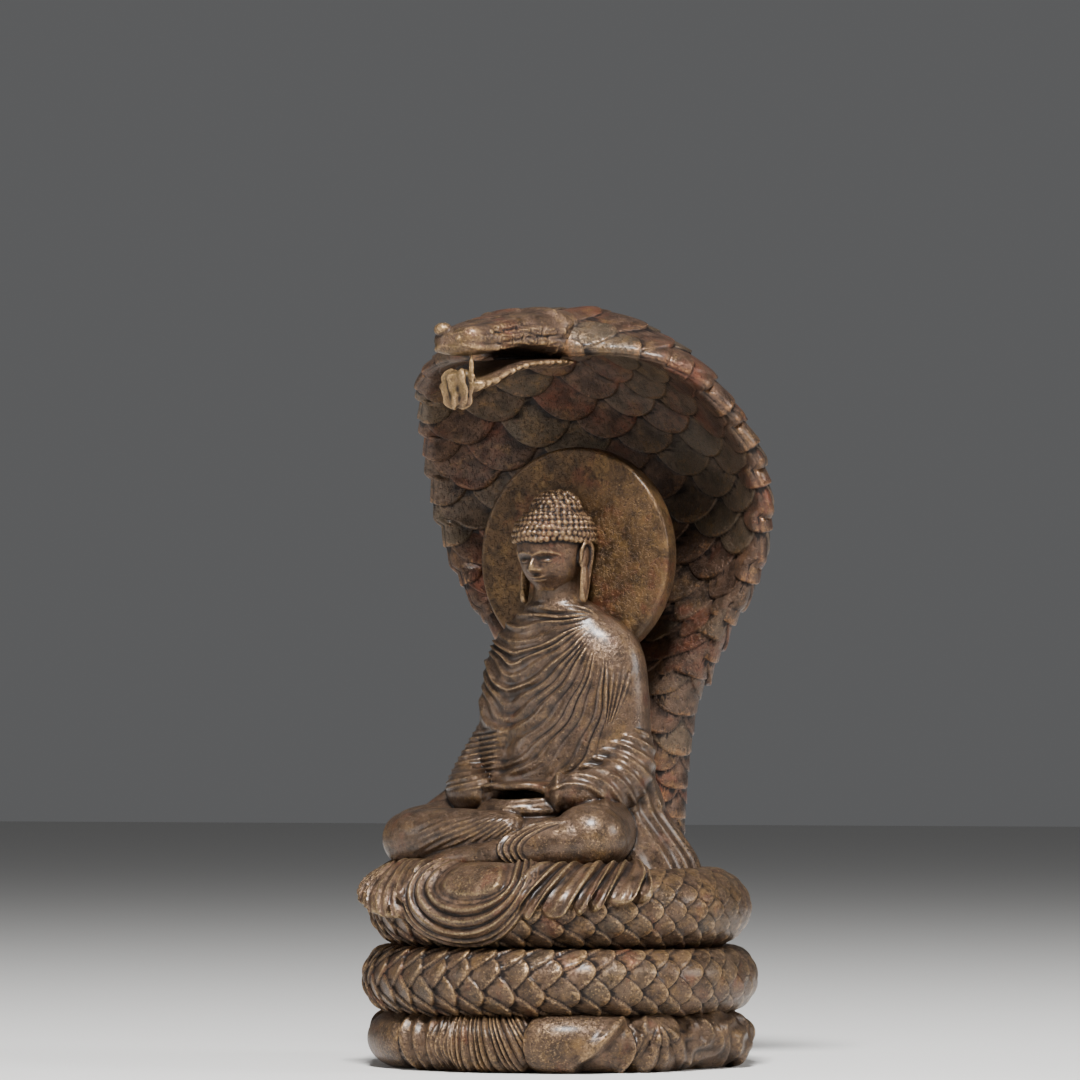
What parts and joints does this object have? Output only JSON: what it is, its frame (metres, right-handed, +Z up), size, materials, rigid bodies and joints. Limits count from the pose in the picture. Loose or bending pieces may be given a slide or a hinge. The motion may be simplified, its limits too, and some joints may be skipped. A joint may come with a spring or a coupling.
{
  "type": "naga buddha",
  "caption": "Small cast bronze of a meditating figure with a plain halo, seated on a cobra's stacked coils under its spread, forward-bent hood.",
  "frame": {"origin": "centre of the flat underside of the coiled base, on the surface that the casting stands on", "axes": "+Z up, -Y the way the seated figure and the cobra's head face, +X towards the figure's left hand"},
  "size_m": [0.064, 0.063, 0.1196],
  "materials": {
    "bronze": "worn brown patina with golden rubbed edges and dark recesses"
  },
  "bodies": {
    "root": {"naga_buddha": "bronze"}
  },
  "joints": []
}
